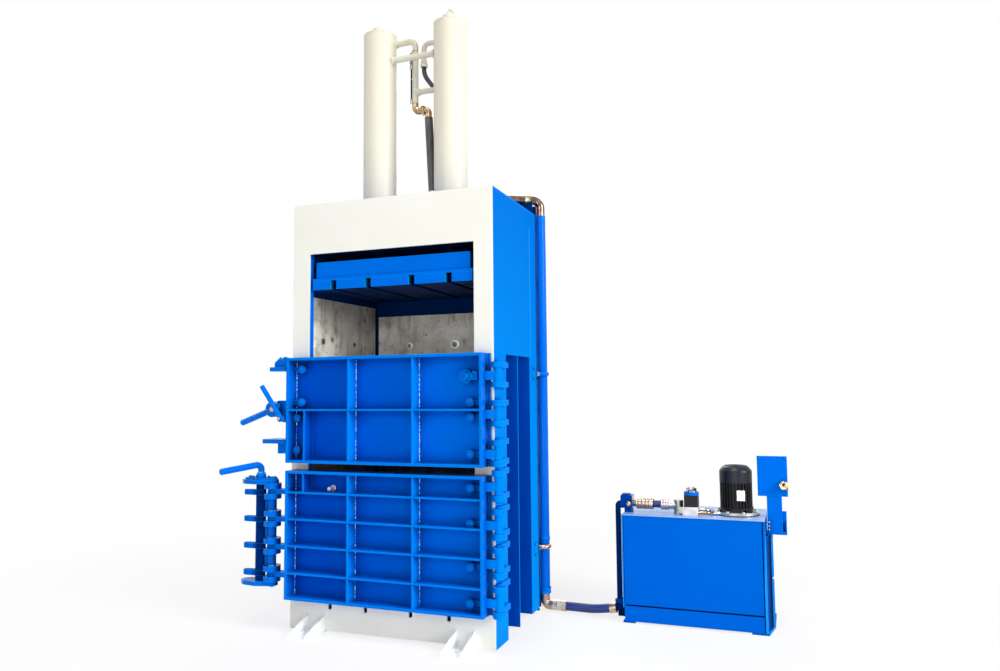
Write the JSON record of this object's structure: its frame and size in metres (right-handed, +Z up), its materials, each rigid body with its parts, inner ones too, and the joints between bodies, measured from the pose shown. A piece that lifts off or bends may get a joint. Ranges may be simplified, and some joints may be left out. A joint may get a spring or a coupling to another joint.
{
  "type": "recycling baler",
  "caption": "Vertical recycling baler with two ram cylinders over a steel chamber, two swinging ribbed doors, a swing lock and a floor-standing hydraulic power pack.",
  "frame": {"origin": "on the floor at the centre of the four floor anchor holes of the baler", "axes": "+Z up, +Y from the doors to the rear wall, +X towards the door hinges and the power pack"},
  "size_m": [3.5748, 1.7146, 4.3655],
  "materials": {
    "cream_paint": "satin enamel",
    "blue_paint": "satin enamel",
    "ivory_paint": "gloss enamel",
    "pale_lid_paint": "satin enamel",
    "black_paint": "satin enamel",
    "wear_steel": "worn, lightly rusted plate",
    "dark_steel": "oiled",
    "plated_steel": "bright zinc",
    "bare_pipe": "bronzed pipe",
    "yellow_zinc": "yellow zinc plated",
    "hard_chrome": "polished",
    "hose_rubber": "smooth cover",
    "pump_aluminium": "cast",
    "plain_aluminium": "plain",
    "black_plastic": "moulded"
  },
  "bodies": {
    "frame": {"front_portal": "cream_paint", "right_side_frame": "blue_paint", "left_side_frame": "blue_paint", "rear_wall": "blue_paint", "head_yoke": "blue_paint", "chamber_floor": "blue_paint", "floor_pads": "blue_paint", "side_liners": "wear_steel", "rear_liner": "wear_steel", "liner_bolts": "dark_steel", "anchor_feet": "cream_paint", "cylinder_barrels": "ivory_paint", "cylinder_glands": "dark_steel", "deck_bolts": "dark_steel", "dome_fittings": "ivory_paint", "cylinder_pipes": "ivory_paint", "port_fittings": "yellow_zinc", "cylinder_hoses": "hose_rubber", "deck_block": "blue_paint", "deck_pipe": "bare_pipe", "side_pipe": "blue_paint", "side_pipe_fittings": "yellow_zinc", "pipe_clamps": "blue_paint", "pack_hose": "hose_rubber", "hinge_ears": "blue_paint", "hinge_pins": "blue_paint", "latch_bracket": "blue_paint", "latch_pins": "plated_steel", "door_keepers": "blue_paint", "tank_shell": "blue_paint", "tank_lid": "pale_lid_paint", "tank_riser": "hose_rubber", "pump_bell": "plated_steel", "motor_housing": "black_paint", "motor_cowl": "black_paint", "hydraulic_pump": "pump_aluminium", "valve_block": "pump_aluminium", "valve_coil": "black_plastic", "inlet_line": "yellow_zinc", "panel_post": "blue_paint", "panel_plate": "blue_paint", "name_plate": "plain_aluminium"},
    "upper_door": {"upper_door": "blue_paint", "upper_door_knuckles": "blue_paint", "upper_door_bosses": "blue_paint"},
    "lower_door": {"lower_door": "blue_paint", "lower_door_knuckles": "blue_paint", "lower_door_bosses": "blue_paint", "lock_lugs": "blue_paint", "lock_hinge_pin": "blue_paint"},
    "lock_carrier": {"lock_frame": "blue_paint"},
    "lock_shaft": {"lock_shaft": "blue_paint", "lock_crank": "blue_paint"},
    "latch_hub": {"latch_hub": "blue_paint"},
    "latch_lever": {"latch_lever": "blue_paint"},
    "platen": {"platen": "blue_paint", "platen_pads": "blue_paint", "piston_rods": "hard_chrome"},
    "rotor": {"motor_rotor": "dark_steel", "pump_coupling": "dark_steel"}
  },
  "joints": [
    {"name": "upper_door_hinge", "type": "hinge", "parent": "frame", "child": "upper_door", "pos_m": [0.795, -0.53, 1.48], "axis": [0, 0, 1], "range_deg": [0, 165]},
    {"name": "lower_door_hinge", "type": "hinge", "parent": "frame", "child": "lower_door", "pos_m": [0.795, -0.53, 0.645], "axis": [0, 0, 1], "range_deg": [0, 165]},
    {"name": "lock_swing", "type": "hinge", "parent": "lower_door", "child": "lock_carrier", "pos_m": [-0.86, -0.545, 0.65], "axis": [0, 0, -1], "range_deg": [0, 80]},
    {"name": "lock_turn", "type": "hinge", "parent": "lock_carrier", "child": "lock_shaft", "pos_m": [-0.957, -0.545, 0.65], "axis": [0, 0, -1], "range_deg": [0, 95]},
    {"name": "latch_hub_turn", "type": "hinge", "parent": "frame", "child": "latch_hub", "pos_m": [-0.841, -0.576, 1.485], "axis": [0, 1, 0], "range_deg": [0, 72]},
    {"name": "latch_lever_turn", "type": "hinge", "parent": "frame", "child": "latch_lever", "pos_m": [-0.746, -0.617, 1.422], "axis": [0, 1, 0], "range_deg": [-25, 30]},
    {"name": "platen_stroke", "type": "slide", "parent": "frame", "child": "platen", "axis": [0, 0, -1], "range_m": [0, 1.2]},
    {"name": "motor_spin", "type": "hinge", "parent": "frame", "child": "rotor", "pos_m": [2.127, 0.6, 0.9], "axis": [0, 0, 1], "continuous": true}
  ]
}
